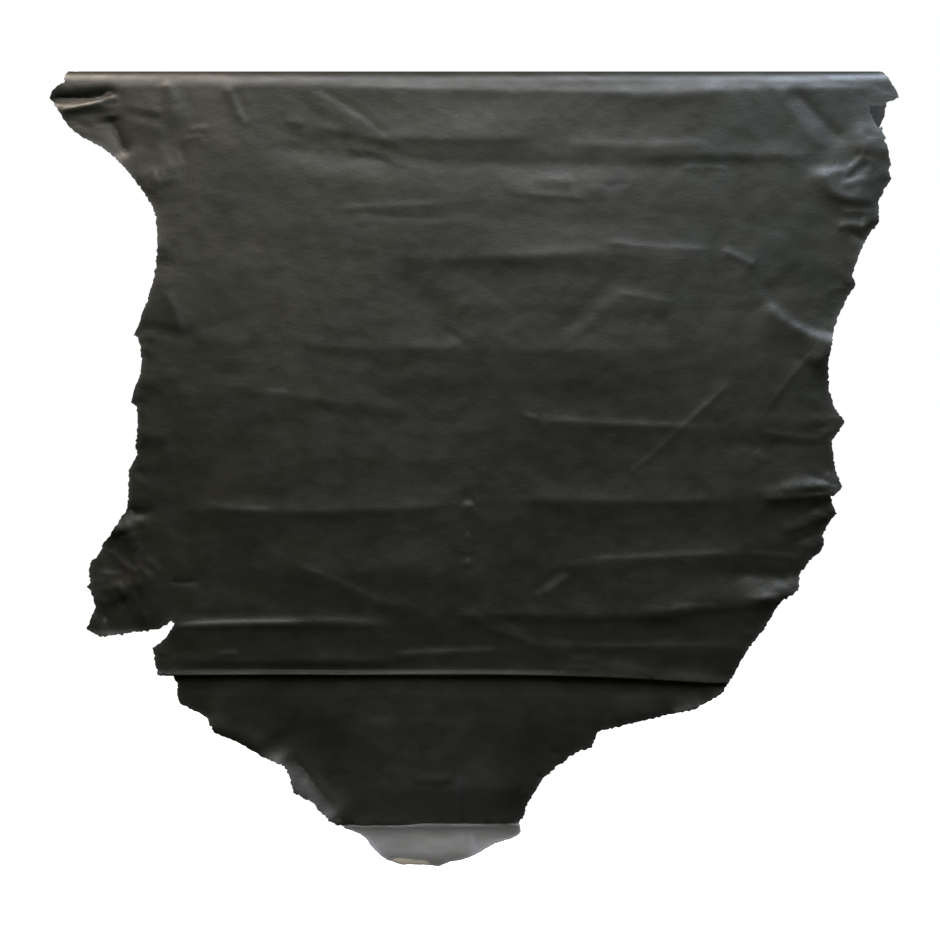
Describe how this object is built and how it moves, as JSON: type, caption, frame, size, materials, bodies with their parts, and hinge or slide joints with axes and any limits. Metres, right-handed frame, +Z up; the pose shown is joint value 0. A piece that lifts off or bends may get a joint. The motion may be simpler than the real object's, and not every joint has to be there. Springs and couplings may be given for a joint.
{
  "type": "leather hide",
  "caption": "Whole soft leather hide hung over a rail, neck end reaching the floor, with flattened fold lines, a tuck across the lower body and a trimmed wavy edge.",
  "frame": {"origin": "top of the rail, half way along it: the inner face of the fold's crest", "axes": "+X along the rail, to the right of someone facing the grain side; -Y out of the grain side; +Z up"},
  "size_m": [2.0391, 0.3833, 1.8175],
  "materials": {
    "hide_leather": "black finished full-grain leather, semi-matt with a soft sheen, brushed flesh side"
  },
  "bodies": {
    "root": {"hide": "hide_leather"}
  },
  "joints": []
}
